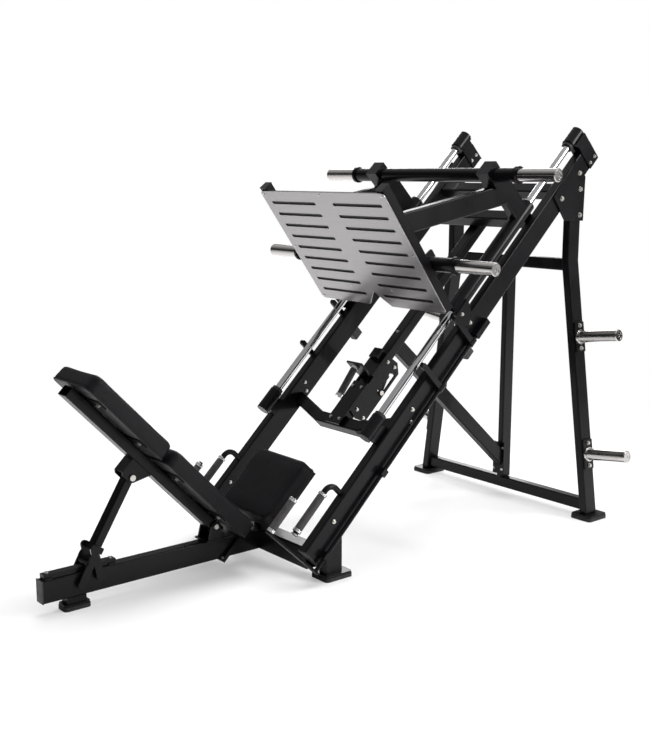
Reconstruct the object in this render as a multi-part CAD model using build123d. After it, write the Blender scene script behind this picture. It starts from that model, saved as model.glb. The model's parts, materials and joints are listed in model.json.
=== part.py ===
from build123d import *
import os
from math import atan2, cos, degrees, hypot, radians, sin

# Plate-loaded incline leg press, millimetres.
# +X runs from the head end to the weight end, +Y to the user's left, +Z up.
# All places below are written with X = 0 at the rail feet; MID_X moves the origin to the
# middle of the machine's length, on the floor, when the parts are written.
MID_X = 228.84

# ---- driving dimensions ----------------------------------------------------------------
INCLINE = 44.0              # slope of the rails and guide rods, degrees
ROD_FLOOR_X = -339.3        # where the line of the guide rods would meet the floor
ROD_Y, ROD_R = 318.0, 15.0
ROD_START, ROD_END = 722.0, 2306.0

RAIL_Y, RAIL_W, RAIL_D = 330.0, 40.0, 90.0
RAIL_TOP, RAIL_START, RAIL_END = -52.0, 238.0, 2325.0
TUBE_WALL = 3.0

PAD_RUBBER, PAD_STEEL = 14.0, 8.0
BEAM_W, BEAM_LOW, BEAM_TOP = 46.0, 45.0, 125.0
BEAM_FRONT = -973.0
FLANGE_N = -20.0            # plane of the bolted joint in the base beam, above the rods

UPRIGHT_X, UPRIGHT_W, UPRIGHT_D = 1300.0, 36.0, 70.0
UPRIGHT_FOOT_Y, UPRIGHT_TOP_Y, UPRIGHT_BEND_Z = 481.0, 332.0, 1085.0

CENTRE_W, CENTRE_TOP, CENTRE_D = 50.0, -90.0, 43.0

HINGE_S, HINGE_N = 151.0, 103.5          # backrest pivot
STRUT_S, STRUT_N = 80.0, 507.0           # pivot of the prop strut under the backrest
STRUT_AIM = (-800.0, 150.3)              # the strut's axis runs towards this X and Z
STRUT_FOOT = (-812.0, 150.3)             # cross pin of the strut's foot, X and Z
PAD_BACK, PAD_FRONT = 176.0, 241.0       # backrest pads, measured along the rods
BACK_PAD_W, SEAT_PAD_W = 270.0, 320.0

PLATE_S, PLATE_N, PLATE_TILT = 1309.0, 336.0, 7.9
PLATE_W, PLATE_H, PLATE_T = 737.0, 559.0, 4.0
PLATE_FRAME_D, BACKING_T = 38.0, 2.0
HOUSING_R, HOUSING_LOW, HOUSING_HIGH = 30.5, 1328.0, 1906.0
LEG_S, LEG_D = 1843.0, 80.0
BAR_R, HORN_R, HORN_LEN = 27.5, 25.0, 186.0
UPPER_BAR = (1826.0, 239.5)              # weight bar places: along the rods, above the rods
LOWER_BAR = (1368.0, 229.0)
BAR_HALF = 654.0                         # middle of the machine to a weight horn's end

LEVER_Y, LEVER_N = 366.0, -128.0         # release shaft axis
STOP_S = (1059.0, 1290.0)                # the two stop arms on each release shaft
GRIP_Y, GRIP_N = 304.0, 95.0             # release grip
LIMIT_PITCH = 28.0                       # notch spacing of the range limiter
LIMIT_PIN = (1002.0, -167.0)

ANG = radians(INCLINE)
RAIL_FRAME = Plane(origin=(ROD_FLOOR_X, 0, 0), x_dir=(cos(ANG), 0, sin(ANG)),
                   z_dir=(-sin(ANG), 0, cos(ANG))).location
SIDES = (-1, 1)             # -1 is the user's right, +1 the user's left
RIGHT, LEFT = -1, 1


def at(s, n, y=0.0):
    """The point s along the rods and n above them."""
    return (ROD_FLOOR_X + s * cos(ANG) - n * sin(ANG), y, s * sin(ANG) + n * cos(ANG))


def rail_box(s0, s1, y0, y1, n0, n1):
    """A block given by its limits along, across and above the rods."""
    middle = Pos((s0 + s1) / 2, (y0 + y1) / 2, (n0 + n1) / 2)
    return RAIL_FRAME * middle * Box(s1 - s0, abs(y1 - y0), n1 - n0)


def rail_rod(s0, s1, y, n, radius):
    """A round bar parallel to the guide rods."""
    middle = Pos((s0 + s1) / 2, y, n)
    return RAIL_FRAME * middle * Rot(0, 90, 0) * Cylinder(radius, s1 - s0)


def cross_rod(s, n, y0, y1, radius):
    """A round bar across the machine."""
    return RAIL_FRAME * Pos(s, (y0 + y1) / 2, n) * Rot(90, 0, 0) * Cylinder(radius, abs(y1 - y0))


def rail_plate(points, y0, y1):
    """A flat plate lying along the rails: its outline in s and n, its thickness across."""
    face = make_face(Polyline(*[(s, n) for s, n in points], close=True))
    sheet = extrude(face, abs(y1 - y0))
    return RAIL_FRAME * Pos(0, max(y0, y1), 0) * Rot(90, 0, 0) * sheet


def box(x0, x1, y0, y1, z0, z1):
    return Pos((x0 + x1) / 2, (y0 + y1) / 2, (z0 + z1) / 2) * Box(x1 - x0, abs(y1 - y0), z1 - z0)


def section(start, end, width, depth, corner, side):
    """A solid bar of rounded rectangular section; width is measured along side."""
    run = (Vector(*end) - Vector(*start)).normalized()
    across = Vector(*side) - run * Vector(*side).dot(run)
    plane = Plane(origin=start, x_dir=across, z_dir=run)
    length = (Vector(*end) - Vector(*start)).length
    return extrude(plane * RectangleRounded(width, depth, corner), length)


def bent_bar(points, width, depth, corner, side):
    """A bar along a bent line, mitred at each bend."""
    whole = None
    for i in range(len(points) - 1):
        a, b = Vector(*points[i]), Vector(*points[i + 1])
        run = (b - a).normalized()
        start = a - run * depth if i > 0 else a
        end = b + run * depth if i < len(points) - 2 else b
        piece = section(tuple(start), tuple(end), width, depth, corner, side)
        for j, inward in ((i, 1), (i + 1, -1)):
            if 0 < j < len(points) - 1:
                p = Vector(*points[j])
                before = (p - Vector(*points[j - 1])).normalized()
                after = (Vector(*points[j + 1]) - p).normalized()
                mitre = Plane(origin=tuple(p), z_dir=(before + after) * inward)
                piece = split(piece, bisect_by=mitre, keep=Keep.TOP)
        whole = piece if whole is None else whole + piece
    return whole


def tube(points, width, depth, side=(0, 1, 0), wall=TUBE_WALL, corner=6.0):
    """A hollow tube along a line: the outer bar for cutting neighbours, and its bore."""
    outer = bent_bar(points, width, depth, corner, side)
    a, b = Vector(*points[0]), Vector(*points[-1])
    first = (Vector(*points[1]) - a).normalized()
    last = (b - Vector(*points[-2])).normalized()
    longer = [tuple(a - first)] + list(points[1:-1]) + [tuple(b + last)]
    bore = bent_bar(longer, width - 2 * wall, depth - 2 * wall, corner - wall, side)
    return outer, bore


def hex_bolt(plane, size=8.0):
    """A hexagon head on its washer, standing on a face."""
    washer = extrude(plane * Circle(size * 1.05), 1.6)
    head = extrude(plane.offset(1.6) * RegularPolygon(size * 0.85, 6), size * 0.6)
    return washer + head


def side_bolt(s, n, y, facing, size=8.0):
    """A bolt head on a face that looks along +Y or -Y."""
    return hex_bolt(Plane(origin=at(s, n, y), x_dir=(1, 0, 0), z_dir=(0, facing, 0)), size)


def group(parts):
    """Separate solids kept in one node."""
    solids = []
    for p in parts:
        solids.extend(p.solids())
    return Compound(children=solids)


nodes = {}
ALONG = (cos(ANG), 0, sin(ANG))
NORMAL = (-sin(ANG), 0, cos(ANG))

# ---- rails, feet and base beam -----------------------------------------------------------
rail_n = RAIL_TOP - RAIL_D / 2
rail_outer = {}
for side, name in ((RIGHT, "rail_right"), (LEFT, "rail_left")):
    line = [at(RAIL_START, rail_n, side * RAIL_Y), at(RAIL_END, rail_n, side * RAIL_Y)]
    outer, bore = tube(line, RAIL_W, RAIL_D)
    rail_outer[side] = outer
    nodes[name] = outer - bore

foot_top = PAD_RUBBER + PAD_STEEL
posts = []
for side in SIDES:
    outer, bore = tube([(0, side * RAIL_Y, foot_top), (0, side * RAIL_Y, 200)], RAIL_W, 80.0)
    posts.append(outer - bore - rail_outer[side])
nodes["rail_posts"] = group([p.solids().sort_by(Axis.Z)[0] for p in posts])

feet = [(-853.0, 0.0, 100.0, 60.0)]
feet += [(8.0, side * 327.0, 124.0, 96.0) for side in SIDES]
feet += [(UPRIGHT_X, side * 485.0, 120.0, 104.0) for side in SIDES]
plates, rubbers = [], []
for x, y, length, width in feet:
    rubbers.append(extrude(Pos(x, y, 0) * RectangleRounded(length, width, 14), PAD_RUBBER))
    plates.append(extrude(Pos(x, y, PAD_RUBBER) * RectangleRounded(length - 4, width - 4, 12), PAD_STEEL))
plates[0] = plates[0] + box(-888, -818, -22, 22, foot_top, BEAM_LOW)
nodes["rubber_feet"] = group(rubbers)
nodes["foot_plates"] = group(plates)

beam_z = (BEAM_LOW + BEAM_TOP) / 2
beam_d = BEAM_TOP - BEAM_LOW
above_joint = rail_box(-900, 900, -200, 200, FLANGE_N + 8, 900)
below_joint = rail_box(-900, 900, -200, 200, -900, FLANGE_N - 8)
outer, bore = tube([(BEAM_FRONT, 0, beam_z), (-140, 0, beam_z)], BEAM_W, beam_d)
nodes["base_beam"] = (outer - bore) & above_joint
outer, bore = tube([(-300, 0, beam_z), (-100, 0, beam_z)], BEAM_W, beam_d)
saddle = (outer - bore) & below_joint
flanges = [rail_box(74, 230, -37, 37, FLANGE_N - 8, FLANGE_N),
           rail_box(74, 230, -37, 37, FLANGE_N, FLANGE_N + 8)]
nodes["beam_flanges"] = group(flanges + [saddle])

outer, bore = tube([(-65, -RAIL_Y, beam_z), (-65, RAIL_Y, beam_z)], 70.0, beam_d, side=(1, 0, 0))
cross = outer - bore - rail_outer[RIGHT] - rail_outer[LEFT]
inner_only = box(-200, 200, -RAIL_Y + RAIL_W / 2, RAIL_Y - RAIL_W / 2, 0, 300)
nodes["lower_cross_beam"] = cross & inner_only

caps = [box(BEAM_FRONT - 4, BEAM_FRONT, -BEAM_W / 2, BEAM_W / 2, BEAM_LOW, BEAM_TOP)]
for side in SIDES:
    y0, y1 = side * RAIL_Y - RAIL_W / 2, side * RAIL_Y + RAIL_W / 2
    caps.append(rail_box(RAIL_START - 4, RAIL_START, y0, y1, RAIL_TOP - RAIL_D, RAIL_TOP))
    caps.append(rail_box(RAIL_END, RAIL_END + 4, y0, y1, RAIL_TOP - RAIL_D, RAIL_TOP))
nodes["end_caps"] = group(caps)

# ---- rear frame ----------------------------------------------------------------------------
upright_outer, uprights = {}, []
for side in SIDES:
    line = [(UPRIGHT_X, side * UPRIGHT_FOOT_Y, foot_top), (UPRIGHT_X, side * UPRIGHT_TOP_Y, UPRIGHT_BEND_Z),
            (UPRIGHT_X, side * UPRIGHT_TOP_Y, 1480)]
    outer, bore = tube(line, UPRIGHT_W, UPRIGHT_D)
    floor_cut = box(1200, 1400, -600, 600, foot_top, 1500)
    body = (outer & floor_cut) - bore - rail_outer[side]
    upright_outer[side] = outer
    uprights.append(body.solids().sort_by(Axis.Z)[0])
nodes["rear_uprights"] = group(uprights)

both_uprights = upright_outer[RIGHT] + upright_outer[LEFT]
bars = []
for z0, z1, half in ((30.0, 80.0, 500.0), (1044.0, 1094.0, 360.0)):
    z = (z0 + z1) / 2
    outer, bore = tube([(UPRIGHT_X, -half, z), (UPRIGHT_X, half, z)], 40.0, z1 - z0, side=(1, 0, 0))
    pieces = (outer - bore - both_uprights).solids()
    bars.append(pieces.sort_by(SortBy.VOLUME)[-1])
nodes["rear_bars"] = group(bars)

post_w, post_d = 30.0, 60.0
outer, bore = tube([(UPRIGHT_X, 0, 80), (UPRIGHT_X, 0, 1044)], post_w, post_d)
centre_post = outer
nodes["centre_upright"] = outer - bore

gusset_line = [(2207, -50), (2209, -139), (2079, -267), (1998, -184), (2010, -62)]
gusset_bolts = [(2190, -101), (2150, -154), (2040, -99), (2078, -232)]
nodes["gusset_plates"] = group([rail_plate(gusset_line, side * 350, side * 358) for side in SIDES])

# ---- centre beam, cross bars and brace -------------------------------------------------------
v_mid, v_arm, v_d = 800.0, 868.0, 50.0
v_n = -125.0
v_line = [at(v_arm, v_n, -RAIL_Y), at(v_mid, v_n, -120), at(v_mid, v_n, 120), at(v_arm, v_n, RAIL_Y)]
outer, bore = tube(v_line, v_d, 50.0, side=NORMAL)
between = rail_box(600, 1100, -RAIL_Y + RAIL_W / 2, RAIL_Y - RAIL_W / 2, -300, 100)
nodes["v_cross_bar"] = (outer - bore) & between

beam_n = CENTRE_TOP - CENTRE_D / 2
outer, bore = tube([at(v_mid + 26, beam_n), at(1905, beam_n)], CENTRE_W, CENTRE_D)
centre_outer = outer
nodes["centre_beam"] = outer - bore

cross_bars = []
for s, n, w in ((1880.0, -62.5, 55.0), (2065.0, -85.0, 50.0)):
    ends = [at(s, n, -RAIL_Y + RAIL_W / 2), at(s, n, RAIL_Y - RAIL_W / 2)]
    outer, bore = tube(ends, w, 50.0, side=NORMAL)
    cross_bars.append(outer - bore)
nodes["upper_cross_bars"] = group(cross_bars)

outer, bore = tube([at(1211, beam_n), (1290.0, 0, 152.7)], 40.0, 60.0)
front_of_post = box(0, UPRIGHT_X - post_d / 2 - 8, -100, 100, 0, 1500)
brace = ((outer - bore) & front_of_post) - centre_outer
nodes["centre_brace"] = group([
    brace.solids().sort_by(SortBy.VOLUME)[-1],
    box(1262, 1270, -32, 32, 96, 244)])

# ---- guide rods and their brackets -----------------------------------------------------------
rods, low_brackets, high_brackets, buffers = [], [], [], []
for side in SIDES:
    y = side * ROD_Y
    rods.append(rail_rod(ROD_START, ROD_END, y, 0, ROD_R))
    bore = rail_rod(ROD_START - 1, ROD_END + 1, y, 0, ROD_R + 0.05)
    neck = rail_plate([(722, RAIL_TOP), (800, RAIL_TOP), (786, -20), (730, -20)], y - 13, y + 13)
    low_brackets.append(rail_rod(706, 806, y, 0, 26) + neck - bore)
    ring = rail_rod(2246, 2326, y, 0, 28) - rail_rod(2245, 2327, y, 0, 22.5)
    ring = ring & rail_box(2240, 2330, y - 40, y + 40, -8, 40)
    face_y = side * (RAIL_Y + RAIL_W / 2)
    wing = rail_box(2256, 2322, face_y, face_y + side * 6, -140, -16)
    web = rail_box(2256, 2322, side * 340.5, face_y + side * 6, -16, -2)
    seat = rail_box(2256, 2320, y - 8, y + 10, RAIL_TOP, -10) + rail_box(2256, 2306, y - 24, y + 24, -10, 2)
    inner_y = side * (RAIL_Y - RAIL_W / 2)
    inner_wing = rail_box(2256, 2322, inner_y, inner_y - side * 6, -132, -16)
    inner_web = rail_box(2256, 2322, side * 291, inner_y, -16, -4)
    high_brackets.append(ring + wing + web + inner_wing + inner_web + seat - bore)
    buffers.append(rail_rod(807, 819, y, 0, 23) - bore)
    buffers.append(rail_rod(2232, 2244, y, 0, 23) - bore)
    bumper = RAIL_FRAME * Pos(1262, side * 332, -159.5) * Box(46, 38, 35)
    buffers.append(fillet(bumper.edges().filter_by(Axis((0, 0, 0), NORMAL)), 6))
nodes["guide_rods"] = group(rods)
nodes["lower_rod_brackets"] = group(low_brackets)
nodes["upper_rod_brackets"] = group(high_brackets)
nodes["rubber_buffers"] = group(buffers)

# ---- storage horns on the rear uprights ------------------------------------------------------
lean = degrees(atan2(UPRIGHT_FOOT_Y - UPRIGHT_TOP_Y, UPRIGHT_BEND_Z - foot_top))
STORAGE_Z = (767.0, 272.0)
STORAGE_LEN = 196.0
horns, horn_plates, storage_bolts = [], [], []
for side in SIDES:
    for z in STORAGE_Z:
        y = UPRIGHT_FOOT_Y - (z - foot_top) * (UPRIGHT_FOOT_Y - UPRIGHT_TOP_Y) / (UPRIGHT_BEND_Z - foot_top)
        tilt = radians(lean)
        out = Vector(0, side * cos(tilt), sin(tilt))
        root = Vector(UPRIGHT_X, side * y, z) + out * (UPRIGHT_W / 2)
        face = Plane(origin=root, x_dir=(1, 0, 0), z_dir=out)
        horn_plates.append(extrude(face * RectangleRounded(56, 128, 6), 8))
        horns.append(extrude(face.offset(8) * Circle(HORN_R), STORAGE_LEN)
                     + extrude(face.offset(8) * Circle(HORN_R + 6), 6))
        for v in (-48, 48):
            storage_bolts.append(hex_bolt(Plane(face.offset(8).location * Pos(0, v, 0)), 9))
nodes["storage_horns"] = group(horns)
nodes["storage_flanges"] = group(horn_plates)

# ---- seat ------------------------------------------------------------------------------------
seat_low, seat_high, seat_top, seat_bottom = 263.0, 545.0, 30.0, -42.0
pad_plane = Plane(origin=at((seat_low + seat_high) / 2, seat_bottom), x_dir=ALONG, z_dir=NORMAL)
pad = extrude(pad_plane * RectangleRounded(seat_high - seat_low, SEAT_PAD_W, 38), seat_top - seat_bottom)
nodes["seat_pad"] = fillet(pad.faces().sort_by(Axis(at(400, 0), NORMAL))[-1].edges(), 12)
board = rail_box(seat_low + 12, seat_high - 12, -146, 146, seat_bottom - 8, seat_bottom)
spine, spine_bore = tube([at(285, -65), at(525, -65)], 40.0, 30.0)
stem, stem_bore = tube([(-65, 0, BEAM_TOP), (-65, 0, 260)], 50.0, 50.0)
stem = (stem - stem_bore) & rail_box(0, 900, -100, 100, -600, -80)
nodes["seat_bracket"] = group([board, spine - spine_bore, stem])

grip_y = 323.0
handle_n, handle_top, handle_end = 14.0, 492.0, 266.0
handles, handle_grips, handle_collars = [], [], []
for side in SIDES:
    y = side * grip_y
    corners = [at(handle_top, RAIL_TOP, y), at(handle_top, handle_n, y), at(handle_end, handle_n, y)]
    path = FilletPolyline(*corners, radius=36)
    foot = Plane(origin=at(handle_top, RAIL_TOP, y), x_dir=(0, 1, 0), z_dir=NORMAL)
    handles.append(sweep(foot * Circle(11), path=path))
    handle_grips.append(rail_rod(286, 432, y, handle_n, 15) - rail_rod(280, 440, y, handle_n, 11.1))
    for s in (274, 434):
        collar = rail_rod(s, s + 11, y, handle_n, 16.5)
        handle_collars.append(collar - rail_rod(s - 1, s + 12, y, handle_n, 11.1))
    handle_collars.append(rail_rod(262, handle_end - 0.2, y, handle_n, 14))
nodes["seat_handles"] = group(handles)
nodes["seat_handle_grips"] = group(handle_grips)
nodes["seat_handle_collars"] = group(handle_collars)

# ---- backrest --------------------------------------------------------------------------------
HINGE = at(HINGE_S, HINGE_N)
lug_x, lug_z = HINGE[0], HINGE[2]
lugs = box(lug_x - 42, lug_x + 42, -40, 40, BEAM_TOP, BEAM_TOP + 6)
lug_foot = BEAM_TOP + 6
lug_line = [(lug_x - 30, lug_foot), (lug_x + 30, lug_foot), (lug_x + 17, lug_z + 4), (lug_x - 17, lug_z + 4)]
for side in SIDES:
    outline = make_face(Polyline(*lug_line, close=True)) + Pos(lug_x, lug_z) * Circle(18)
    ear = Pos(0, 39 if side > 0 else -31, 0) * Rot(90, 0, 0) * extrude(outline, 8)
    lugs = lugs + ear
pin_hole = Pos(*HINGE) * Rot(90, 0, 0) * Cylinder(8.05, 200)
nodes["hinge_lugs"] = lugs - pin_hole
hinge_pin = Pos(*HINGE) * Rot(90, 0, 0) * Cylinder(8, 82)
for side in SIDES:
    head = Plane(origin=(lug_x, side * 39.2, lug_z), x_dir=(1, 0, 0), z_dir=(0, side, 0))
    hinge_pin = hinge_pin + extrude(head * Circle(9.5), 5)

frame_low, frame_high = 65.0, 895.0
outer, bore = tube([at(HINGE_S, frame_low), at(HINGE_S, frame_high)], 60.0, 40.0)
back_frame = outer - bore - pin_hole
cheeks = [(131, 452), (131, 551), (72, 551), (63, 540), (62, 500), (70, 490)]
for y in (22.5, -28.5):
    back_frame = back_frame + rail_plate(cheeks, y, y + 6)
back_frame = back_frame + rail_box(72, 131, -28.5, 28.5, 545, 551)
strut_pin_hole = cross_rod(STRUT_S, STRUT_N, -60, 60, 6.05)
nodes["back_frame"] = back_frame - strut_pin_hole

pad_bars, back_bolts = [], []
bar_n = (815.0, 605.0, 398.0, 158.0)
for n in bar_n:
    pad_bars.append(rail_box(171, 176, -112, 112, n - 20, n + 20))
    for side in SIDES:
        face = Plane(origin=at(171, n, side * 92), x_dir=(0, 1, 0), z_dir=(-cos(ANG), 0, -sin(ANG)))
        back_bolts.append(hex_bolt(face, 8))
nodes["back_pad_bars"] = group(pad_bars)
back_bolts.append(cross_rod(STRUT_S, STRUT_N, -29, 29, 6) + cross_rod(STRUT_S, STRUT_N, 28.7, 36, 11)
                  + cross_rod(STRUT_S, STRUT_N, -36, -28.7, 11))
nodes["back_bolts"] = group(back_bolts)

for name, low, high in (("back_pad_upper", 503.0, 909.0), ("back_pad_lower", 18.0, 496.0)):
    face = Plane(origin=at(PAD_BACK, (low + high) / 2), x_dir=(0, 1, 0), z_dir=ALONG)
    pad = extrude(face * RectangleRounded(BACK_PAD_W, high - low, 30), PAD_FRONT - PAD_BACK)
    nodes[name] = fillet(pad.faces().sort_by(Axis(at(200, 0), ALONG))[-1].edges(), 12)

# ---- prop strut, its foot and the track on the beam ------------------------------------------
strut_top = Vector(*at(STRUT_S, STRUT_N))
strut_aim = Vector(STRUT_AIM[0], 0, STRUT_AIM[1])
strut_foot = Vector(STRUT_FOOT[0], 0, STRUT_FOOT[1])
strut_dir = (strut_aim - strut_top).normalized()
strut_end = strut_aim - strut_dir * 62
outer, bore = tube([tuple(strut_top + strut_dir * 4), tuple(strut_end)], 40.0, 34.0)
eye = Pos(*strut_top) * Rot(90, 0, 0) * Cylinder(17, 40)
eye_hole = Pos(*strut_top) * Rot(90, 0, 0) * Cylinder(6.05, 80)
yoke = section(tuple(strut_end), tuple(strut_end + strut_dir * 22), 82.0, 34.0, 5.0, (0, 1, 0))
strut = (outer - bore) + eye - eye_hole + yoke
foot_arms = (((-790, 200), (-772, 100), 27), ((-795, 170), (-842, 85), 28))
for side in SIDES:
    for upper, lower, width in foot_arms:
        run = Vector(lower[0] - upper[0], 0, lower[1] - upper[1])
        middle = ((upper[0] + lower[0]) / 2, side * 33, (upper[1] + lower[1]) / 2)
        face = Plane(origin=middle, x_dir=run, z_dir=(0, side, 0))
        strut = strut + extrude(face * SlotOverall(run.length + width, width), 8)
strut = strut + Pos(*strut_foot) * Rot(90, 0, 0) * Cylinder(7, 86)
nodes["prop_strut"] = strut
track = box(-966, -700, -15, 15, BEAM_TOP, 143)
for x in (-950, -716):
    track = track + box(x - 13, x + 13, -20, 20, BEAM_TOP, 131)
nodes["recline_track"] = track

# ---- range limiter on the centre beam --------------------------------------------------------
outline = [(852, -90), (1134, -90), (1146, -150), (1118, -188), (866, -188), (846, -140)]
window = rail_box(990, 1100, -60, 60, -178, -158)
for i in range(4):
    s = LIMIT_PIN[0] + i * LIMIT_PITCH
    window = window + rail_box(s - 7.4, s + 7.4, -60, 60, -160, -153) + cross_rod(s, -153, -60, 60, 7.4)
rack = [rail_plate(outline, side * 33, side * 41) - window for side in SIDES]
cover = rail_box(776, 985, -41, 41, -90, -84)
for side in SIDES:
    rack.append(rail_box(828, 985, side * 25.2, side * 32.8, -130, -90.2))
nodes["limiter_rack_plates"] = group([rack[0], rack[1], cover, rack[2], rack[3]])

sleeve_gap = 0.5
half = CENTRE_W / 2 + sleeve_gap
sleeve = rail_box(1022, 1142, -41, 41, -89.5, -80)
for side in SIDES:
    cheek = [(1030, -84), (1142, -84), (1142, -140), (1024, -180)]
    cheek += [(990, -180), (990, -150), (1012, -120), (1012, -84)]
    slot = rail_box(LIMIT_PIN[0] - 6.1, LIMIT_PIN[0] + 6.1, -60, 60, LIMIT_PIN[1], -154)
    slot = slot + cross_rod(*LIMIT_PIN, -60, 60, 6.1) + cross_rod(LIMIT_PIN[0], -154, -60, 60, 6.1)
    sleeve = sleeve + (rail_plate(cheek, side * half, side * 31) - slot)
sleeve = sleeve + rail_box(1030, 1092, -31, 31, -140, -133.6)
head = [(-45, 0), (45, 0), (45, -42), (31, -84), (-31, -84), (-45, -42)]
head_face = Plane(origin=at(1012, 0), x_dir=(0, 1, 0), z_dir=ALONG)
head_plate = extrude(head_face * make_face(Polyline(*head, close=True)), 8)
buffer_block = rail_box(1096, 1142, -24, 24, -82, -58)
nodes["limiter_slider"] = sleeve + head_plate + buffer_block

grip_a, grip_b = at(1012, -16), at(868, -37)
grip_dir = (Vector(*grip_b) - Vector(*grip_a)).normalized()


def along_grip(d0, d1, r_out, r_in):
    start = Plane(origin=Vector(*grip_a) + grip_dir * d0, z_dir=grip_dir)
    ring = Circle(r_out) - Circle(r_in) if r_in else Circle(r_out)
    return extrude(start * ring, d1 - d0)


nodes["limiter_grip"] = along_grip(14, 132, 14, 6.1)
nodes["limiter_collars"] = group([along_grip(4, 13.8, 15.5, 6.1), along_grip(132.2, 144, 15.5, 6.1),
                                  along_grip(1.6, 146, 6, 0)])
nodes["limiter_pin"] = cross_rod(*LIMIT_PIN, -45, 45, 6) + cross_rod(*LIMIT_PIN, 43, 50, 10) + cross_rod(
    *LIMIT_PIN, -50, -43, 10)

# ---- carriage --------------------------------------------------------------------------------
housings, bushes, arms, catches, carriage_bolts = [], [], [], [], []
plate_frame = RAIL_FRAME * Pos(PLATE_S, 0, PLATE_N) * Rot(0, PLATE_TILT, 0)
# In this frame -X faces the user, +Y is the machine's left and +Z is up the plate.
behind = plate_frame * Pos(500 + PLATE_T + BACKING_T + PLATE_FRAME_D, 0, 0) * Box(1000, 1200, 2000)
for side in SIDES:
    y = side * ROD_Y
    housing = rail_rod(HOUSING_LOW, HOUSING_HIGH, y, 0, HOUSING_R)
    housings.append(housing - rail_rod(HOUSING_LOW - 1, HOUSING_HIGH + 1, y, 0, 23))
    for s in (HOUSING_LOW + 4, HOUSING_HIGH - 64):
        bushes.append(rail_rod(s, s + 60, y, 0, 22.9) - rail_rod(s - 1, s + 61, y, 0, ROD_R + 0.05))
    around = rail_rod(HOUSING_LOW - 5, HOUSING_HIGH + 5, y, 0, HOUSING_R)
    leg, leg_bore = tube([at(LEG_S, 10, side * 322), at(LEG_S, 196, side * 322)], 40.0, LEG_D)
    arms.append(leg - leg_bore - around)
    arm, arm_bore = tube([at(1330, 466, side * 322), at(1830, 134, side * 322)], 40.0, 80.0)
    block = rail_box(UPPER_BAR[0] - 34, UPPER_BAR[0] + 34, side * 292, side * 352, 196, 280)
    arms.append(((arm - arm_bore) & behind) - leg - block)
    arms.append(block - cross_rod(*UPPER_BAR, side * 280, side * 360, BAR_R + 0.1))
    catch = [(1306, 10), (1306, -44), (1330, -84), (1352, -84), (1366, -56), (1392, 10)]
    pad_block = rail_box(1310, 1388, side * 338, side * 354, -14, 14) - around
    catches.append(rail_plate(catch, side * 354, side * 362) + pad_block)
    carriage_bolts.append(side_bolt(1338, -68, side * 362, side, 7))
    carriage_bolts.append(side_bolt(1330, -10, side * 362, side, 7))
nodes["bearing_housings"] = group(housings)
nodes["linear_bearings"] = group(bushes)
nodes["carriage_arms"] = group([max(a.solids(), key=lambda q: q.volume) for a in arms])
nodes["catch_plates"] = group(catches)

sheet = Plane(origin=(0, 0, 0), x_dir=(0, -1, 0), z_dir=(-1, 0, 0))
slot_len, slot_w, slot_pitch = 276.0, 14.0, 56.0
outline = RectangleRounded(PLATE_W, PLATE_H, 16)
notch = make_face(Polyline((0, -207), (84, -300), (-84, -300), close=True))
outline = outline - notch
backing = plate_frame * Pos(PLATE_T, 0, 0) * extrude(sheet * outline, -BACKING_T)
for row in range(9):
    for side in SIDES:
        outline = outline - Pos(side * 190, 224 - row * slot_pitch) * SlotOverall(slot_len, slot_w)
nodes["footplate"] = plate_frame * extrude(sheet * outline, -PLATE_T)

frame_x0 = PLATE_T + BACKING_T
frame_x1 = frame_x0 + PLATE_FRAME_D


def frame_tube(y0, z0, y1, z1, width, side):
    mid = (frame_x0 + frame_x1) / 2
    outer, bore = tube([(mid, y0, z0), (mid, y1, z1)], width, PLATE_FRAME_D, side=side, corner=4.0)
    return plate_frame * (outer - bore)


side_w, half_h = 40.0, PLATE_H / 2
side_y = PLATE_W / 2 - side_w / 2
members = [backing]
for y in (-side_y, side_y):
    members.append(frame_tube(y, -half_h, y, half_h + 9, side_w, (0, 1, 0)))
    lid = Box(PLATE_FRAME_D, side_w, 3)
    members.append(plate_frame * Pos((frame_x0 + frame_x1) / 2, y, half_h + 10.5) * lid)
inner_y = side_y - side_w / 2
for z in (half_h - 60, 84.0, -84.0, -184.0):
    members.append(frame_tube(-inner_y, z, inner_y, z, 28.0, (0, 0, 1)))
nodes["footplate_frame"] = group(members)
screw_at = [(y, z) for y in (-354, 354) for z in (-266, 0, 266)] + [(0, 266), (-120, -190), (120, -190)]
for y, z in screw_at:
    seat_plane = Plane(origin=(0, y, z), x_dir=(0, 1, 0), z_dir=(-1, 0, 0))
    carriage_bolts.append(plate_frame * extrude(seat_plane * Circle(5), 1.6))

bars = []
for s, n in (UPPER_BAR, LOWER_BAR):
    bars.append(cross_rod(s, n, -BAR_HALF + HORN_LEN + 12, BAR_HALF - HORN_LEN - 12, BAR_R))
lower_bar = cross_rod(*LOWER_BAR, -500, 500, BAR_R + 0.1)
for side in SIDES:
    ear = plate_frame * Pos(frame_x1 + 34, side * 318, -109) * Box(67.6, 12, 96)
    bars.append(ear - lower_bar)
nodes["horn_bars"] = group(bars)
collars, sleeves = [], []
for s, n in (UPPER_BAR, LOWER_BAR):
    for side in SIDES:
        inner = side * (BAR_HALF - HORN_LEN - 12)
        collars.append(cross_rod(s, n, inner, inner + side * 12, 34))
        sleeves.append(cross_rod(s, n, inner + side * 12, side * BAR_HALF, HORN_R))
nodes["horn_collars"] = group(collars)
nodes["horn_sleeves"] = group(sleeves)
nodes["carriage_fasteners"] = group(carriage_bolts)

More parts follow.
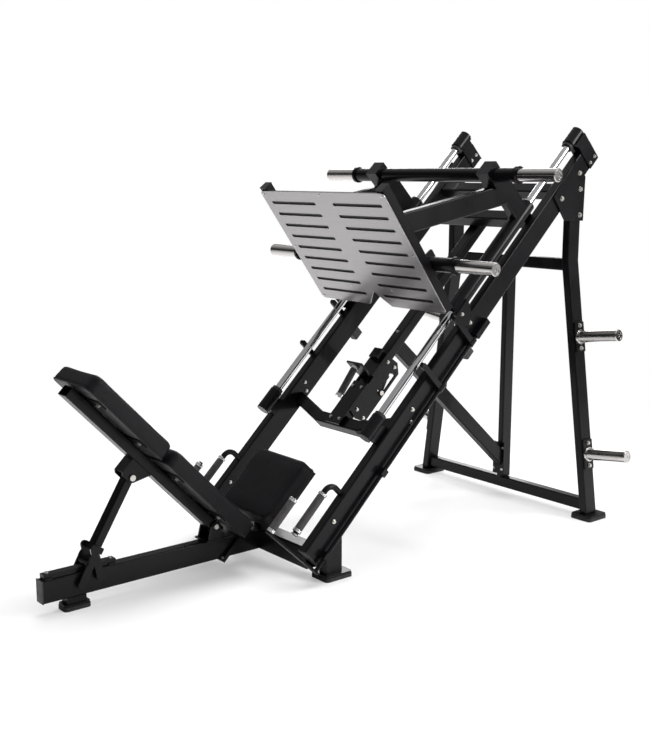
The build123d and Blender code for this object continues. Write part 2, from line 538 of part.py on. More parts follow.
# ---- release levers: shaft, lever arm and stop arms of one weldment on each side -------------
SHAFT_LOW, SHAFT_HIGH = 204.0, 1372.0
bearing_s = ((262.0, 290.0), (640.0, 668.0), (1318.0, 1404.0))
bearings = []
for side, word in ((RIGHT, "right"), (LEFT, "left")):
    y = side * LEVER_Y
    lever = rail_rod(SHAFT_LOW, SHAFT_HIGH, y, LEVER_N, 8)
    for s in STOP_S:
        lever = lever + rail_box(s - 11, s + 11, y - 7, y + 7, LEVER_N, 6)
        lever = lever + RAIL_FRAME * Pos(s, y, 6) * Rot(90, 0, 0) * Cylinder(11, 14)
        lever = lever + rail_rod(s - 16, s + 16, y, LEVER_N, 13.5)
    arm_y, arm_n = side * GRIP_Y - y, GRIP_N - LEVER_N
    arm_len, arm_turn = hypot(arm_y, arm_n), degrees(atan2(arm_n, arm_y))
    bar = Pos(SHAFT_LOW + 4, y, LEVER_N) * Rot(arm_turn, 0, 0) * Pos(0, arm_len / 2, 0) * Box(8, arm_len, 26)
    lever = lever + RAIL_FRAME * bar + rail_rod(SHAFT_LOW, SHAFT_LOW + 8, y, LEVER_N, 15)
    lever = lever + rail_rod(SHAFT_LOW, SHAFT_LOW + 8, side * GRIP_Y, GRIP_N, 15)
    lever = lever + rail_rod(SHAFT_LOW, 366, side * GRIP_Y, GRIP_N, 8)
    nodes[f"release_lever_{word}"] = lever
    grip = rail_rod(225, 346, side * GRIP_Y, GRIP_N, 14.5)
    nodes[f"release_grip_{word}"] = grip - rail_rod(220, 350, side * GRIP_Y, GRIP_N, 8.1)
    hole = rail_rod(200, 370, side * GRIP_Y, GRIP_N, 8.1)
    rings = [rail_rod(s, s + 12, side * GRIP_Y, GRIP_N, 16) - hole for s in (212.5, 346.5)]
    nodes[f"release_collars_{word}"] = group(rings)
    for s0, s1 in bearing_s:
        block = rail_box(s0, s1, side * 350, side * 378, LEVER_N - 12, LEVER_N + 12)
        bearings.append(block - rail_rod(s0 - 1, s1 + 1, y, LEVER_N, 8.05))
nodes["shaft_bearings"] = group(bearings)

# ---- frame fasteners -------------------------------------------------------------------------
bolts = [hinge_pin] + storage_bolts
for side in SIDES:
    outer_face, inner_face = side * 350, side * 310
    for s, n in ((917, -86), (392, -80), (880, -118)):
        bolts.append(side_bolt(s, n, outer_face, side))
    for s, n in ((925, -86), (904, -118), (392, -80)):
        bolts.append(side_bolt(s, n, inner_face, -side, 7))
    for s, n in gusset_bolts:
        bolts.append(side_bolt(s, n, side * 358, side, 10))
    for s in (2270, 2306):
        bolts.append(side_bolt(s, -118, side * 356, side, 7))
        bolts.append(side_bolt(s, -100, side * 304, -side, 7))
    for s, n in ((876, -117), (873, -168), (1114, -106), (1122, -150)):
        bolts.append(side_bolt(s, n, side * 41, side, 7))
    for z in (120, 220):
        bolts.append(hex_bolt(Plane(origin=(1262, side * 24, z), x_dir=(0, 1, 0), z_dir=(-1, 0, 0)), 6))
for y in (-26, 26):
    for s in (800, 960):
        bolts.append(hex_bolt(Plane(origin=at(s, -84, y), x_dir=(0, 1, 0), z_dir=NORMAL), 7))
for s in (1256, 1500):
    bolts.append(hex_bolt(Plane(origin=at(s, CENTRE_TOP), x_dir=(0, 1, 0), z_dir=NORMAL), 7))
for side in SIDES:
    for s in (84, 218):
        joint = Plane(origin=at(s, FLANGE_N + 8, side * 29.8), x_dir=(0, 1, 0), z_dir=NORMAL)
        bolts.append(hex_bolt(joint, 6))
for x in (-950, -716):
    bolts.append(hex_bolt(Plane(origin=(x, 0, 143), x_dir=(1, 0, 0), z_dir=(0, 0, 1)), 7))
nodes["frame_bolts"] = group(bolts)

# ---- write one STEP for each node ------------------------------------------------------------
os.makedirs("parts", exist_ok=True)
for name, shape in nodes.items():
    export_step(Pos(-MID_X, 0, 0) * shape, f"parts/{name}.step")
print(len(nodes), "nodes")
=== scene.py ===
import json
import math
from math import cos, pi, radians, sin

import bmesh
import bpy
from mathutils import Matrix, Vector


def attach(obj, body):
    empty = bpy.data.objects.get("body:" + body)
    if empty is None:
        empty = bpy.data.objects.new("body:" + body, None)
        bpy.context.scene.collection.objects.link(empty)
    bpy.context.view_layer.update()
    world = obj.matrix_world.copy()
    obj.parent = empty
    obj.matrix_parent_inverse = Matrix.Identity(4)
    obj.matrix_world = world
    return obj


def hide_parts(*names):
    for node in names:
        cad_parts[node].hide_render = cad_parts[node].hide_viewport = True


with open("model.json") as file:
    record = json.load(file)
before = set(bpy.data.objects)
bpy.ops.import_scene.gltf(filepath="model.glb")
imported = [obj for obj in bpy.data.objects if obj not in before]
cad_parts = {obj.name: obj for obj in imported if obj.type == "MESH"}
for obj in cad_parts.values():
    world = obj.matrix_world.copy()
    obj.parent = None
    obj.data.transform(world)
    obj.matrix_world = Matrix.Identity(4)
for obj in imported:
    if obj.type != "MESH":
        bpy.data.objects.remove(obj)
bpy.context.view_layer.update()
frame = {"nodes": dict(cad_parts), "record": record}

# ---- the inclined frame of the guide rods: s along them, y across, n above them, in metres ----
INCLINE = radians(44)
ALONG = Vector((cos(INCLINE), 0, sin(INCLINE)))
NORMAL = Vector((-sin(INCLINE), 0, cos(INCLINE)))
SIDE = Vector((0, 1, 0))


def mesh_points(node):
    return [v.co.copy() for v in frame["nodes"][node].data.vertices]


def middle(points):
    low = Vector([min(p[i] for p in points) for i in range(3)])
    high = Vector([max(p[i] for p in points) for i in range(3)])
    return (low + high) / 2


def islands(node):
    """The points of each loose part of a CAD node."""
    bm = bmesh.new()
    bm.from_mesh(frame["nodes"][node].data)
    bmesh.ops.remove_doubles(bm, verts=bm.verts, dist=1e-6)
    seen, parts = set(), []
    for v in bm.verts:
        if v in seen:
            continue
        stack, part = [v], []
        seen.add(v)
        while stack:
            a = stack.pop()
            part.append(a.co.copy())
            for e in a.link_edges:
                b = e.other_vert(a)
                if b not in seen:
                    seen.add(b)
                    stack.append(b)
        parts.append(part)
    bm.free()
    return parts


def along(points, direction):
    """Lowest and highest place of the points along a direction."""
    values = [p.dot(direction) for p in points]
    return min(values), max(values)


# ---- materials ----------------------------------------------------------------------
class Shader:
    """A small builder for one procedural material."""

    def __init__(self, name, color, roughness, metallic=0.0):
        self.material = bpy.data.materials.new(name)
        self.material.use_nodes = True
        self.tree = self.material.node_tree
        self.bsdf = self.tree.nodes["Principled BSDF"]
        self.bsdf.inputs["Base Color"].default_value = (*color, 1)
        self.bsdf.inputs["Roughness"].default_value = roughness
        self.bsdf.inputs["Metallic"].default_value = metallic
        self.coords = self.tree.nodes.new("ShaderNodeTexCoord").outputs["Object"]
        self.normal = None

    def node(self, kind, **values):
        n = self.tree.nodes.new(kind)
        for key, value in values.items():
            if key in n.inputs:
                n.inputs[key].default_value = value
            else:
                setattr(n, key, value)
        return n

    def link(self, a, b):
        self.tree.links.new(a, b)

    def mapped(self, scale, turn=(0, 0, 0)):
        m = self.node("ShaderNodeMapping")
        m.inputs["Scale"].default_value = scale
        m.inputs["Rotation"].default_value = turn
        self.link(self.coords, m.inputs["Vector"])
        return m.outputs["Vector"]

    def noise(self, scale, detail=3.0, rough=0.55, vector=None):
        n = self.node("ShaderNodeTexNoise", Scale=scale, Detail=detail, Roughness=rough)
        self.link(vector or self.coords, n.inputs["Vector"])
        return n.outputs["Fac"]

    def voronoi(self, scale, feature="F1", vector=None):
        n = self.node("ShaderNodeTexVoronoi", Scale=scale, feature=feature)
        self.link(vector or self.coords, n.inputs["Vector"])
        return n.outputs["Distance"]

    def span(self, value, low, high, out_low, out_high):
        n = self.node("ShaderNodeMapRange")
        n.inputs["From Min"].default_value = low
        n.inputs["From Max"].default_value = high
        n.inputs["To Min"].default_value = out_low
        n.inputs["To Max"].default_value = out_high
        self.link(value, n.inputs["Value"])
        return n.outputs["Result"]

    def math(self, operation, a, b):
        n = self.node("ShaderNodeMath", operation=operation)
        for i, value in enumerate((a, b)):
            if isinstance(value, (int, float)):
                n.inputs[i].default_value = value
            else:
                self.link(value, n.inputs[i])
        return n.outputs["Value"]

    def blend(self, factor, first, second):
        n = self.node("ShaderNodeMix", data_type="RGBA")
        self.link(factor, n.inputs["Factor"])
        for value, slot in ((first, 6), (second, 7)):
            if isinstance(value, tuple):
                n.inputs[slot].default_value = (*value, 1)
            else:
                self.link(value, n.inputs[slot])
        return n.outputs[2]

    def bump(self, height, strength, distance):
        n = self.node("ShaderNodeBump", Strength=strength, Distance=distance)
        self.link(height, n.inputs["Height"])
        if self.normal:
            self.link(self.normal, n.inputs["Normal"])
        self.normal = n.outputs["Normal"]
        self.link(self.normal, self.bsdf.inputs["Normal"])

    def soft_edges(self, radius):
        """Rounds sharp edges in the shading, and returns a mask that is 1 along them."""
        bevel = self.node("ShaderNodeBevel", samples=4, Radius=radius)
        self.normal = bevel.outputs["Normal"]
        self.link(self.normal, self.bsdf.inputs["Normal"])
        dot = self.node("ShaderNodeVectorMath", operation="DOT_PRODUCT")
        self.link(bevel.outputs["Normal"], dot.inputs[0])
        self.link(self.node("ShaderNodeNewGeometry").outputs["True Normal"], dot.inputs[1])
        return self.span(dot.outputs["Value"], 0.995, 0.86, 0.0, 1.0)


def powder_coat(name, color=(0.0034, 0.003, 0.0038), grain=1.0):
    """Satin black powder coat: orange peel, faint dust, worn bright along sharp edges."""
    m = Shader(name, color, 0.3)
    edge = m.soft_edges(0.002)
    m.bsdf.inputs["Coat Weight"].default_value = 0.12
    m.bsdf.inputs["Coat Roughness"].default_value = 0.08
    m.bsdf.inputs["Specular IOR Level"].default_value = 0.12
    cloud = m.noise(7.0, 4.0)
    dust = m.span(m.noise(55.0, 6.0, 0.7), 0.52, 0.8, 0.0, 0.22)
    tone = m.blend(cloud, color, tuple(c * 1.55 for c in color))
    tone = m.blend(dust, tone, (0.014, 0.013, 0.014))
    broken = m.span(m.noise(160.0, 4.0, 0.7), 0.56, 0.7, 0.0, 1.0)
    worn = m.math("MULTIPLY", m.math("MULTIPLY", edge, broken), 0.3)
    m.link(m.blend(worn, tone, (0.05, 0.049, 0.048)), m.bsdf.inputs["Base Color"])
    rough = m.math("ADD", m.span(cloud, 0.3, 0.7, 0.27, 0.38), m.math("MULTIPLY", dust, 0.3))
    m.link(rough, m.bsdf.inputs["Roughness"])
    m.bump(m.noise(620.0 * grain, 2.0), 0.16, 0.0006)
    return m.material


def polished_steel(name, color=(0.7, 0.7, 0.715), rough=0.1, lines=0.0, edges=0.001):
    """Hard chrome: faint smears, fine turning lines where asked."""
    m = Shader(name, color, rough, 1.0)
    m.soft_edges(edges)
    smear = m.noise(9.0, 5.0, 0.6)
    m.link(m.span(smear, 0.3, 0.75, rough * 0.7, rough * 1.7), m.bsdf.inputs["Roughness"])
    haze = m.span(m.noise(30.0, 5.0, 0.7), 0.45, 0.8, 0.0, 0.3)
    m.link(m.blend(haze, color, tuple(c * 0.72 for c in color)), m.bsdf.inputs["Base Color"])
    if lines:
        m.bump(m.noise(1.0, 2.0, 0.6, m.mapped((60, 2200, 60))), lines, 0.0002)
    return m.material


def brushed_plate(name):
    """Brushed stainless sheet, grain running across the machine."""
    m = Shader(name, (0.5, 0.485, 0.49), 0.34, 1.0)
    m.soft_edges(0.0012)
    across = m.mapped((1500, 14, 1500))
    grain = m.noise(1.0, 4.0, 0.7, across)
    long_grain = m.noise(1.0, 2.0, 0.5, m.mapped((260, 1.5, 260)))
    both = m.math("MULTIPLY", grain, long_grain)
    m.link(m.span(both, 0.12, 0.42, 0.3, 0.38), m.bsdf.inputs["Roughness"])
    m.link(m.blend(m.span(both, 0.1, 0.45, 0.0, 1.0), (0.33, 0.318, 0.324), (0.385, 0.372, 0.378)),
           m.bsdf.inputs["Base Color"])
    m.bsdf.inputs["Anisotropic"].default_value = 0.65
    direction = m.node("ShaderNodeCombineXYZ", Y=1.0)
    m.link(direction.outputs["Vector"], m.bsdf.inputs["Tangent"])
    m.bump(grain, 0.06, 0.0003)
    return m.material


def zinc(name, color=(0.62, 0.6, 0.56)):
    """Zinc plated fasteners with a faint crystal mottle."""
    m = Shader(name, color, 0.3, 1.0)
    m.soft_edges(0.0006)
    cells = m.voronoi(420.0)
    m.link(m.blend(cells, color, tuple(c * 0.7 for c in color)), m.bsdf.inputs["Base Color"])
    m.link(m.span(m.noise(180.0), 0.3, 0.7, 0.22, 0.42), m.bsdf.inputs["Roughness"])
    m.bump(m.noise(900.0, 2.0), 0.1, 0.0003)
    return m.material


def turned_aluminium(name):
    """Polished collar with fine grain in its bump and patchy roughness."""
    m = Shader(name, (0.8, 0.8, 0.81), 0.17, 1.0)
    m.soft_edges(0.0008)
    m.link(m.span(m.noise(120.0, 4.0), 0.3, 0.7, 0.12, 0.26), m.bsdf.inputs["Roughness"])
    m.bump(m.noise(1400.0, 2.0), 0.07, 0.0002)
    return m.material


def rubber(name, color, rough, grain, depth):
    """Moulded rubber: matt, fine pebble grain and a little bloom."""
    m = Shader(name, color, rough)
    m.soft_edges(0.0012)
    bloom = m.span(m.noise(28.0, 6.0, 0.65), 0.42, 0.75, 0.0, 1.0)
    m.link(m.blend(bloom, color, tuple(c * 1.7 + 0.006 for c in color)), m.bsdf.inputs["Base Color"])
    m.link(m.span(m.noise(90.0, 3.0), 0.3, 0.7, rough - 0.1, rough + 0.12), m.bsdf.inputs["Roughness"])
    m.bump(m.voronoi(grain), depth, 0.0005)
    return m.material


def leatherette(name, color=(0.0026, 0.0022, 0.003)):
    """Black grained upholstery: pebble grain, soft creases, slight sheen on the high spots."""
    m = Shader(name, color, 0.46)
    pebble = m.voronoi(640.0, "SMOOTH_F1")
    crease = m.voronoi(210.0, "DISTANCE_TO_EDGE", m.mapped((1.0, 1.0, 1.0)))
    broad = m.noise(16.0, 5.0, 0.6)
    high = m.span(pebble, 0.1, 0.6, 1.0, 0.0)
    tone = m.blend(broad, color, tuple(c * 1.7 for c in color))
    # Painted highlight: the colour is lifted on the pebble grain's high spots as a faint speckle sheen
    grain_highlight_tone = m.blend(m.math("MULTIPLY", high, 0.5), tone, tuple(c * 2.6 for c in color))
    m.link(grain_highlight_tone, m.bsdf.inputs["Base Color"])
    m.link(m.span(m.math("ADD", broad, m.math("MULTIPLY", pebble, 0.4)), 0.4, 0.95, 0.38, 0.6),
           m.bsdf.inputs["Roughness"])
    m.bsdf.inputs["Specular IOR Level"].default_value = 0.2
    m.bsdf.inputs["Sheen Weight"].default_value = 0.01
    m.bsdf.inputs["Sheen Roughness"].default_value = 0.4
    m.bump(m.span(crease, 0.0, 0.08, 0.0, 1.0), 0.25, 0.0004)
    m.bump(pebble, 0.5, 0.0005)
    m.bump(m.noise(34.0, 4.0), 0.2, 0.0022)
    return m.material


def moulded_plastic(name, color=(0.012, 0.012, 0.012)):
    m = Shader(name, color, 0.5)
    m.soft_edges(0.0015)
    m.link(m.span(m.noise(60.0, 4.0), 0.3, 0.7, 0.42, 0.62), m.bsdf.inputs["Roughness"])
    m.link(m.blend(m.noise(12.0), color, tuple(c * 2.2 for c in color)), m.bsdf.inputs["Base Color"])
    m.bump(m.voronoi(1500.0), 0.25, 0.0003)
    return m.material


MATERIALS = {
    "black_powder_coat": powder_coat("powder_coat_black"),
    "black_cap": moulded_plastic("moulded_cap_black"),
    "foot_rubber": rubber("rubber_feet_black", (0.013, 0.013, 0.013), 0.72, 700.0, 0.5),
    "buffer_rubber": rubber("rubber_buffer_black", (0.012, 0.012, 0.012), 0.6, 900.0, 0.3),
    "polished_rod": polished_steel("chromed_guide_rod", (0.6, 0.595, 0.61), 0.085),
    "horn_chrome": polished_steel("chromed_weight_horn", (0.55, 0.53, 0.52), 0.16, 0.2),
    "pad_cover": leatherette("leatherette_black"),
    "grip_rubber": rubber("rubber_grip_grey", (0.04, 0.037, 0.038), 0.52, 620.0, 0.35),
    "collar_metal": turned_aluminium("turned_collar"),
    "bolt_zinc": zinc("zinc_fastener"),
    "plate_steel": brushed_plate("brushed_footplate"),
    "bearing_steel": polished_steel("ground_bearing_steel", (0.5, 0.5, 0.51), 0.24),
}
SLOT_OF = {part["node"]: part["material_slot"] for part in frame["record"]["subparts"]}
for node, obj in frame["nodes"].items():
    material = MATERIALS[SLOT_OF[node]]
    obj.data.materials.clear()
    obj.data.materials.append(material)


# ---- piece helpers ---------------------------------------------------------------------------
def piece(name, bm, body, slot, material=None, smooth=True):
    """Turns a bmesh in the row's frame into a piece that rides on a body."""
    mesh = bpy.data.meshes.new(name)
    bm.normal_update()
    bm.to_mesh(mesh)
    bm.free()
    obj = bpy.data.objects.new(name, mesh)
    bpy.context.scene.collection.objects.link(obj)
    mesh.materials.append(material or MATERIALS[slot])
    for polygon in mesh.polygons:
        polygon.use_smooth = smooth
    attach(obj, body)
    return obj


def frame_matrix(origin, forward, up_hint=Vector((0, 0, 1))):
    """A frame whose Z looks along forward."""
    z = forward.normalized()
    if abs(z.dot(up_hint)) > 0.98:
        up_hint = SIDE
    x = up_hint.cross(z).normalized()
    y = z.cross(x)
    m = Matrix((x, y, z)).transposed().to_4x4()
    m.translation = origin
    return m


def lathe(bm, profile, matrix, steps=48):
    """Turns (radius, height) points round the matrix's Z axis, closed at both ends."""
    rings = []
    for radius, height in profile:
        ring = []
        for k in range(steps):
            a = 2 * pi * k / steps
            ring.append(bm.verts.new(matrix @ Vector((radius * cos(a), radius * sin(a), height))))
        rings.append(ring)
    for lower, upper in zip(rings, rings[1:]):
        for k in range(steps):
            j = (k + 1) % steps
            bm.faces.new((lower[k], lower[j], upper[j], upper[k]))
    bm.faces.new(list(reversed(rings[0])))
    bm.faces.new(rings[-1])
    bmesh.ops.recalc_face_normals(bm, faces=bm.faces)


def sharpen(obj, angle=32):
    """Keeps edges sharper than the angle crisp under smooth shading."""
    mesh = obj.data
    bm = bmesh.new()
    bm.from_mesh(mesh)
    for edge in bm.edges:
        if len(edge.link_faces) == 2 and edge.calc_face_angle(0) > radians(angle):
            edge.smooth = False
    bm.to_mesh(mesh)
    bm.free()


# ---- pads ------------------------------------------------------------------------------------
def rounded_outline(length, width, radius, steps=10):
    points = []
    for cx, cy, start in ((1, 1, 0), (-1, 1, 90), (-1, -1, 180), (1, -1, 270)):
        for k in range(steps + 1):
            a = radians(start + 90 * k / steps)
            x = cx * (length / 2 - radius) + radius * cos(a)
            y = cy * (width / 2 - radius) + radius * sin(a)
            points.append((x, y))
    return points


# Share of the pad's height, and how far the outline is moved inwards there, in metres.
PAD_LAYERS = [
    (0.0, -0.003), (0.08, -0.0005), (0.4, 0.0), (0.8, 0.0), (0.93, -0.002), (0.985, -0.006), (1.0, -0.011),
]


def pad_form(length, width, height, radius, crown):
    """A closed form, flat underneath, with a crowned top and pulled in sides; Z is its front."""
    bm = bmesh.new()
    rings = []
    for share, inset in PAD_LAYERS:
        outline = rounded_outline(length + 2 * inset, width + 2 * inset, max(radius + inset, 0.012))
        rings.append([bm.verts.new((x, y, share * (height - crown))) for x, y in outline])
    count = len(rings[0])
    for lower, upper in zip(rings, rings[1:]):
        for k in range(count):
            j = (k + 1) % count
            bm.faces.new((lower[k], lower[j], upper[j], upper[k]))
    bm.faces.new(list(reversed(rings[0])))
    top = bm.faces.new(rings[-1])
    bmesh.ops.inset_region(bm, faces=[top], thickness=0.03, use_even_offset=True)
    for v in top.verts:
        v.co.z += crown * 0.5
    bmesh.ops.recalc_face_normals(bm, faces=bm.faces)
    return bm


SIM_FRAMES = 20
SPREAD_PASSES = 14


def inflate(obj, voxel, pressure, cap):
    """Swells the pad as stuffed fabric, each move capped and averaged with its neighbours'."""
    bpy.context.view_layer.objects.active = obj
    remesh = obj.modifiers.new("remesh", "REMESH")
    remesh.mode = "VOXEL"
    remesh.voxel_size = voxel
    bpy.ops.object.modifier_apply(modifier=remesh.name)
    before = [v.co.copy() for v in obj.data.vertices]
    low = min(p.z for p in before)
    pins = obj.vertex_groups.new(name="base")
    pins.add([i for i, p in enumerate(before) if p.z < low + voxel * 1.2], 1.0, "REPLACE")
    cloth = obj.modifiers.new("cloth", "CLOTH")
    cloth.settings.effector_weights.gravity = 0
    cloth.settings.use_pressure = True
    cloth.settings.uniform_pressure_force = pressure
    cloth.settings.vertex_group_mass = "base"
    cloth.settings.quality = 5
    cloth.settings.tension_stiffness = 20
    cloth.settings.compression_stiffness = 20
    cloth.settings.bending_stiffness = 0.6
    cloth.point_cache.frame_start = 1
    cloth.point_cache.frame_end = SIM_FRAMES
    for number in range(1, SIM_FRAMES + 1):
        bpy.context.scene.frame_set(number)
    swollen = obj.evaluated_get(bpy.context.evaluated_depsgraph_get()).data
    after = [v.co.copy() for v in swollen.vertices]
    obj.modifiers.remove(cloth)
    bpy.context.scene.frame_set(1)
    moves = []
    for a, b in zip(before, after):
        move = b - a
        moves.append(move * min(1.0, cap / max(move.length, 1e-9)))
    neighbours = [[] for _ in before]
    for edge in obj.data.edges:
        i, j = edge.vertices
        neighbours[i].append(j)
        neighbours[j].append(i)
    for _ in range(SPREAD_PASSES):
        moves = [(moves[i] + sum((moves[j] for j in near), Vector())) / (len(near) + 1)
                 for i, near in enumerate(neighbours)]
    for v, a, move in zip(obj.data.vertices, before, moves):
        v.co = a + move
    smooth = obj.modifiers.new("smooth", "SMOOTH")
    smooth.factor = 0.5
    smooth.iterations = 2
    bpy.ops.object.modifier_apply(modifier=smooth.name)


def welt(name, body, matrix, outline, height, radius):
    """A sewn cord that follows an outline at one height."""
    curve = bpy.data.curves.new(name, "CURVE")
    curve.dimensions = "3D"
    curve.bevel_depth = radius
    curve.bevel_resolution = 3
    spline = curve.splines.new("POLY")
    spline.points.add(len(outline) - 1)
    for point, (x, y) in zip(spline.points, outline):
        p = matrix @ Vector((x, y, height))
        point.co = (*p, 1)
    spline.use_cyclic_u = True
    obj = bpy.data.objects.new(name, curve)
    bpy.context.scene.collection.objects.link(obj)
    curve.materials.append(MATERIALS["pad_cover"])
    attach(obj, body)
    return obj


def make_pad(node, body, front, lengthwise, radius, crown):
    points = mesh_points(node)
    f0, f1 = along(points, front)
    l0, l1 = along(points, lengthwise)
    w0, w1 = along(points, SIDE)
    length, width, height = l1 - l0, w1 - w0, f1 - f0
    origin = front * f0 + lengthwise * (l0 + l1) / 2 + SIDE * (w0 + w1) / 2
    x, z = lengthwise, front
    y = z.cross(x)
    matrix = Matrix((x, y, z)).transposed().to_4x4()
    matrix.translation = origin
    trim = 0.0025
    bm = pad_form(length - 2 * trim, width - 2 * trim, height - 0.002, radius, crown)
    obj = piece(node + "_cushion", bm, body, "pad_cover")
    inflate(obj, 0.0055, 4.0, 0.003)
    obj.data.transform(matrix)
    sub = obj.modifiers.new("subdivision", "SUBSURF")
    sub.levels = 1
    sub.render_levels = 1
    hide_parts(node)
    outline = rounded_outline(length - 0.009, width - 0.009, radius)
    welt(node + "_welt", body, matrix, outline, height * 0.045, 0.0028)
    board = bmesh.new()
    rings = []
    for z0, inset in ((-0.0002, -0.014), (0.006, -0.012)):
        ring_outline = rounded_outline(length + 2 * inset, width + 2 * inset, radius * 0.8)
        rings.append([board.verts.new(matrix @ Vector((a, b, z0))) for a, b in ring_outline])
    for k in range(len(rings[0])):
        j = (k + 1) % len(rings[0])
        board.faces.new((rings[0][k], rings[0][j], rings[1][j], rings[1][k]))
    board.faces.new(list(reversed(rings[0])))
    board.faces.new(rings[1])
    piece(node + "_backing", board, body, "pad_cover", MATERIALS["black_cap"], smooth=False)


HEADWARD = NORMAL
make_pad("back_pad_upper", "backrest", ALONG, HEADWARD, 0.03, 0.004)
make_pad("back_pad_lower", "backrest", ALONG, HEADWARD, 0.03, 0.004)
make_pad("seat_pad", "frame", NORMAL, ALONG, 0.04, 0.006)


# ---- grips and collars -----------------------------------------------------------------------
def grip_profile(radius, length, bore):
    """Moulded sleeve: rounded rims, shallow rings and a slight swell in the hand."""
    points = [(bore, 0.0), (radius * 0.93, 0.0), (radius * 0.99, 0.0012), (radius, 0.004)]
    rings = int((length - 0.016) / 0.0045)
    for k in range(rings):
        h = 0.008 + k * 0.0045
        points += [(radius, h), (radius, h + 0.0026)]
        points += [(radius - 0.0006, h + 0.0032), (radius - 0.0006, h + 0.0041)]
    points += [(radius, length - 0.004), (radius * 0.99, length - 0.0012)]
    points += [(radius * 0.93, length), (bore, length)]
    return points


def collar_profile(radius, length, bore):
    """Turned collar: chamfers and one groove."""
    c, g = 0.0011, length * 0.5
    return [(bore, 0), (radius - c, 0), (radius, c), (radius, g - 0.0012), (radius - 0.0009, g - 0.0005),
            (radius - 0.0009, g + 0.0005), (radius, g + 0.0012), (radius, length - c), (radius - c, length),
            (bore, length)]


def dress_round(node, body, slot, direction, profile, bore_share):
    """Replaces each round solid of a node by a turned one on the same axis."""
    bm = bmesh.new()
    for part in islands(node):
        low, high = along(part, direction)
        centre = middle(part)
        centre = centre + direction * ((low + high) / 2 - centre.dot(direction))
        radius = max((p - centre - direction * (p - centre).dot(direction)).length for p in part)
        m = frame_matrix(centre + direction * (low - (low + high) / 2), direction)
        lathe(bm, profile(radius, high - low, radius * bore_share), m)
    obj = piece(node + "_turned", bm, body, slot)
    sharpen(obj, 28)
    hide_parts(node)


dress_round("seat_handle_grips", "frame", "grip_rubber", ALONG, grip_profile, 0.74)
dress_round("seat_handle_collars", "frame", "collar_metal", ALONG, collar_profile, 0.3)
for word in ("right", "left"):
    dress_round("release_grip_" + word, "release_" + word, "grip_rubber", ALONG, grip_profile, 0.56)
    dress_round("release_collars_" + word, "release_" + word, "collar_metal", ALONG, collar_profile, 0.5)
LIMITER_HANDLE = -(ALONG * 144 + NORMAL * 21).normalized()
dress_round("limiter_grip", "limiter", "grip_rubber", LIMITER_HANDLE, grip_profile, 0.45)


# ---- weight horns: chamfered ends, end cap and turned lines ----------------------------------
def horn_profile(radius, length, bore):
    c = 0.0025
    return [(radius * 0.5, 0), (radius, 0), (radius, length - c), (radius - c, length),
            (radius * 0.62, length), (radius * 0.6, length - 0.0012),
            (radius * 0.2, length - 0.0012), (radius * 0.18, length - 0.003), (0.0005, length - 0.003)]


def outward_horns(node, body, slot, directions, profile=horn_profile):
    bm = bmesh.new()
    for part in islands(node):
        centre = middle(part)
        direction = directions(centre)
        low, high = along(part, direction)
        end = [p for p in part if p.dot(direction) > high - 0.002]
        axis_point = middle(end)
        start = axis_point - direction * (axis_point.dot(direction) - low)
        radius = max((p - axis_point - direction * (p - axis_point).dot(direction)).length for p in end)
        lathe(bm, profile(radius, high - low, 0), frame_matrix(start, direction), 64)
    obj = piece(node + "_turned", bm, body, slot)
    sharpen(obj, 28)
    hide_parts(node)


outward_horns("horn_sleeves", "carriage", "horn_chrome", lambda c: SIDE * (1 if c.y > 0 else -1))


def flanged_profile(radius, length, bore):
    """A horn standing on a round collar."""
    wide = radius + 0.0059
    return [(radius * 0.5, 0), (wide, 0), (wide, 0.0048), (wide - 0.0012, 0.006), (radius, 0.006)] \
        + horn_profile(radius, length, bore)[2:]


STORAGE_LEAN = math.atan2(481 - 332, 1085 - 22)


def storage_direction(centre):
    return Vector((0, cos(STORAGE_LEAN) * (1 if centre.y > 0 else -1), sin(STORAGE_LEAN)))


outward_horns("storage_horns", "frame", "horn_chrome", storage_direction, flanged_profile)

# ---- floor, light and camera -----------------------------------------------------------------
floor_mesh = bpy.data.meshes.new("floor")
FLOOR_HALF = 60
corners = [(x * FLOOR_HALF, y * FLOOR_HALF, 0) for x, y in ((-1, -1), (1, -1), (1, 1), (-1, 1))]
floor_mesh.from_pydata(corners, [], [(0, 1, 2, 3)])
floor = bpy.data.objects.new("floor", floor_mesh)
bpy.context.scene.collection.objects.link(floor)
paint = Shader("pale_floor", (0.93, 0.93, 0.93), 0.6)
paint.link(paint.span(paint.noise(3.0), 0.3, 0.7, 0.52, 0.66), paint.bsdf.inputs["Roughness"])
paint.bsdf.inputs["Specular IOR Level"].default_value = 0.15
reach_node = paint.node("ShaderNodeVectorMath", operation="LENGTH")
paint.link(paint.coords, reach_node.inputs[0])
glow = paint.node("ShaderNodeEmission", Strength=1.0)
glow.inputs["Color"].default_value = (1, 1, 1, 1)
fade = paint.node("ShaderNodeMixShader")
near_share = paint.span(reach_node.outputs["Value"], 0.9, 3.2, 0.35, 1.0)
seen_by_camera = paint.node("ShaderNodeLightPath").outputs["Is Camera Ray"]
paint.link(paint.math("MULTIPLY", near_share, seen_by_camera), fade.inputs["Fac"])
paint.link(paint.bsdf.outputs["BSDF"], fade.inputs[1])
paint.link(glow.outputs["Emission"], fade.inputs[2])
paint.link(fade.outputs["Shader"], paint.tree.nodes["Material Output"].inputs["Surface"])
floor_mesh.materials.append(paint.material)


def area_light(name, place, target, size, power):
    lamp = bpy.data.lights.new(name, "AREA")
    lamp.shape = "RECTANGLE"
    lamp.size, lamp.size_y = size
    lamp.energy = power
    obj = bpy.data.objects.new(name, lamp)
    obj.location = place
    obj.rotation_euler = (Vector(target) - Vector(place)).to_track_quat("-Z", "Y").to_euler()
    bpy.context.scene.collection.objects.link(obj)
    return obj


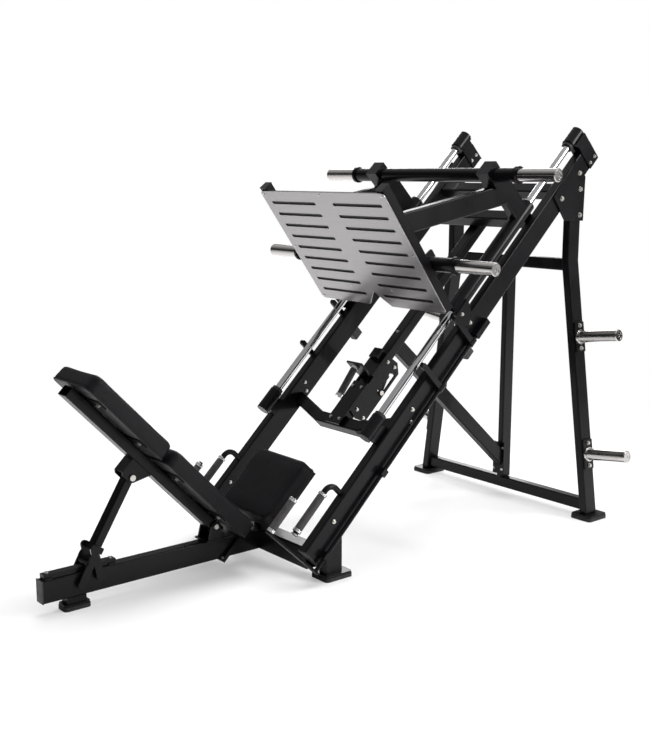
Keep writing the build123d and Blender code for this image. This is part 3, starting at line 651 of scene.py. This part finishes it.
centre = Vector((0.1, 0, 0.8))
area_light("key_near_side", (3.6, -4.6, 3.0), centre, (2.2, 2.2), 210)
top = area_light("top_soft", (0.4, 0.2, 6.0), centre, (4.0, 3.2), 340)
top.visible_glossy = False
area_light("rear_rim", (4.4, 4.2, 2.6), centre, (2.4, 2.4), 110)

world = bpy.data.worlds.new("studio")
bpy.context.scene.world = world
world.use_nodes = True
tree = world.node_tree
tree.nodes.clear()
output = tree.nodes.new("ShaderNodeOutputWorld")
direction = tree.nodes.new("ShaderNodeTexCoord").outputs["Generated"]
split_axes = tree.nodes.new("ShaderNodeSeparateXYZ")
tree.links.new(direction, split_axes.inputs["Vector"])
side_shade = tree.nodes.new("ShaderNodeMapRange")
side_shade.inputs["From Min"].default_value = -0.9
side_shade.inputs["From Max"].default_value = 0.4
side_shade.inputs["To Min"].default_value = 0.12
side_shade.inputs["To Max"].default_value = 1.0
tree.links.new(split_axes.outputs["X"], side_shade.inputs["Value"])
height_shade = tree.nodes.new("ShaderNodeMapRange")
height_shade.interpolation_type = "SMOOTHSTEP"
height_shade.inputs["From Min"].default_value = 0.12
height_shade.inputs["From Max"].default_value = 0.75
height_shade.inputs["To Min"].default_value = 0.03
height_shade.inputs["To Max"].default_value = 0.85
tree.links.new(split_axes.outputs["Z"], height_shade.inputs["Value"])
shade = tree.nodes.new("ShaderNodeMath")
shade.operation = "MULTIPLY"
tree.links.new(side_shade.outputs["Result"], shade.inputs[0])
tree.links.new(height_shade.outputs["Result"], shade.inputs[1])
soft = tree.nodes.new("ShaderNodeBackground")
tree.links.new(shade.outputs["Value"], soft.inputs["Strength"])
soft.inputs["Color"].default_value = (1, 1, 1, 1)
white = tree.nodes.new("ShaderNodeBackground")
white.inputs["Color"].default_value = (1, 1, 1, 1)
white.inputs["Strength"].default_value = 1.0
seen = tree.nodes.new("ShaderNodeLightPath")
choose = tree.nodes.new("ShaderNodeMixShader")
tree.links.new(seen.outputs["Is Camera Ray"], choose.inputs["Fac"])
tree.links.new(soft.outputs["Background"], choose.inputs[1])
tree.links.new(white.outputs["Background"], choose.inputs[2])
tree.links.new(choose.outputs["Shader"], output.inputs["Surface"])

eye = Vector((-2.6305, -3.253, 1.4482))
yaw, pitch = radians(39.1), radians(10.48)
camera_data = bpy.data.cameras.new("camera")
camera_data.lens = 52.39
camera_data.sensor_width = 36
camera_data.clip_end = 200
camera = bpy.data.objects.new("camera", camera_data)
camera.location = eye
camera.rotation_euler = (pi / 2 - pitch, 0, -yaw)
bpy.context.scene.collection.objects.link(camera)
bpy.context.scene.camera = camera
bpy.context.scene.view_settings.view_transform = "Standard"
